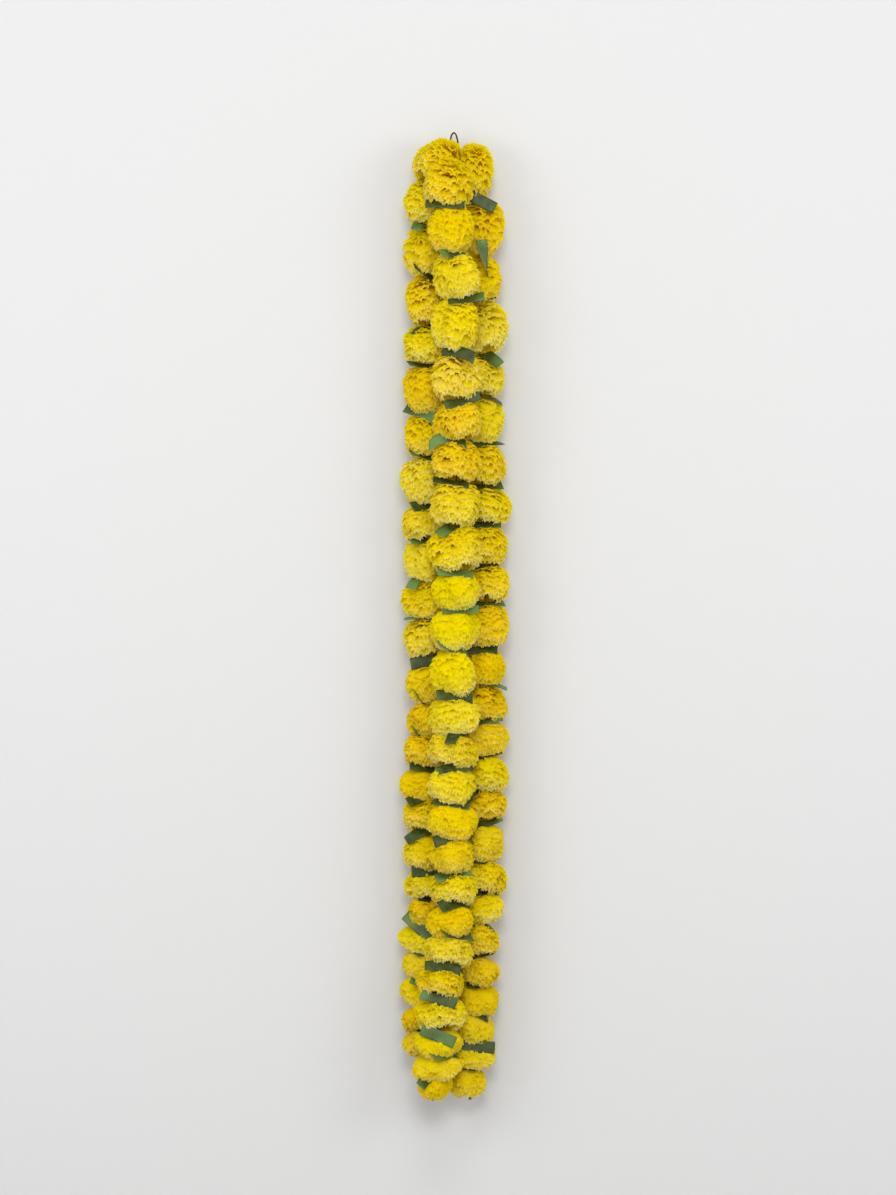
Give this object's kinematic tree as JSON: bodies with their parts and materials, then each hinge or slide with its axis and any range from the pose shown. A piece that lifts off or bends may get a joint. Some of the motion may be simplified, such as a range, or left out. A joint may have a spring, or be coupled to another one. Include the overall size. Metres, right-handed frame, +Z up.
{
  "type": "artificial marigold garland",
  "caption": "Long hanging garland of yellow fabric pom-pom flowers threaded in a bundle of strands, with green ribbon strips between the flowers and a thread loop to hang it by.",
  "frame": {"origin": "top of the hanging loop, in the middle of its thread, where a nail or hook bears", "axes": "+Z up along the hanging strands; the front faces -Y, so +X is to the right as seen from the front, and the wall is at +Y"},
  "size_m": [0.1597, 0.1297, 1.5237],
  "materials": {
    "petals": "frilled polyester cloth with pale, finely cut edges",
    "ribbon": "satin ribbon, cut square, with a soft sheen",
    "thread": "twisted cotton thread, matt"
  },
  "bodies": {
    "root": {"left_flower_01": "petals", "left_flowers_02_03": "petals", "left_flowers_04_05": "petals", "left_flowers_06_07": "petals", "left_flowers_08_09": "petals", "left_flowers_10_11": "petals", "left_flowers_12_13": "petals", "left_flowers_14_15": "petals", "left_flowers_16_17": "petals", "left_flowers_18_19": "petals", "left_flowers_20_21": "petals", "left_flowers_22_23": "petals", "left_flowers_24_25": "petals", "left_thread": "ribbon", "left_end_knot": "thread", "centre_flower_01": "petals", "centre_flowers_02_03": "petals", "centre_flowers_04_05": "petals", "centre_flowers_06_07": "petals", "centre_flowers_08_09": "petals", "centre_flowers_10_11": "petals", "centre_flowers_12_13": "petals", "centre_flowers_14_15": "petals", "centre_flowers_16_17": "petals", "centre_flowers_18_19": "petals", "centre_flowers_20_21": "petals", "centre_flowers_22_23": "petals", "centre_flowers_24_25": "petals", "centre_thread": "ribbon", "centre_end_knot": "thread", "right_flower_01": "petals", "right_flowers_02_03": "petals", "right_flowers_04_05": "petals", "right_flowers_06_07": "petals", "right_flowers_08_09": "petals", "right_flowers_10_11": "petals", "right_flowers_12_13": "petals", "right_flowers_14_15": "petals", "right_flowers_16_17": "petals", "right_flowers_18_19": "petals", "right_flowers_20_21": "petals", "right_flowers_22_23": "petals", "right_flowers_24_25": "petals", "right_thread": "ribbon", "right_end_knot": "thread", "right_tail": "ribbon", "gathering_knot": "thread", "hanging_loop": "thread"}
  },
  "joints": []
}
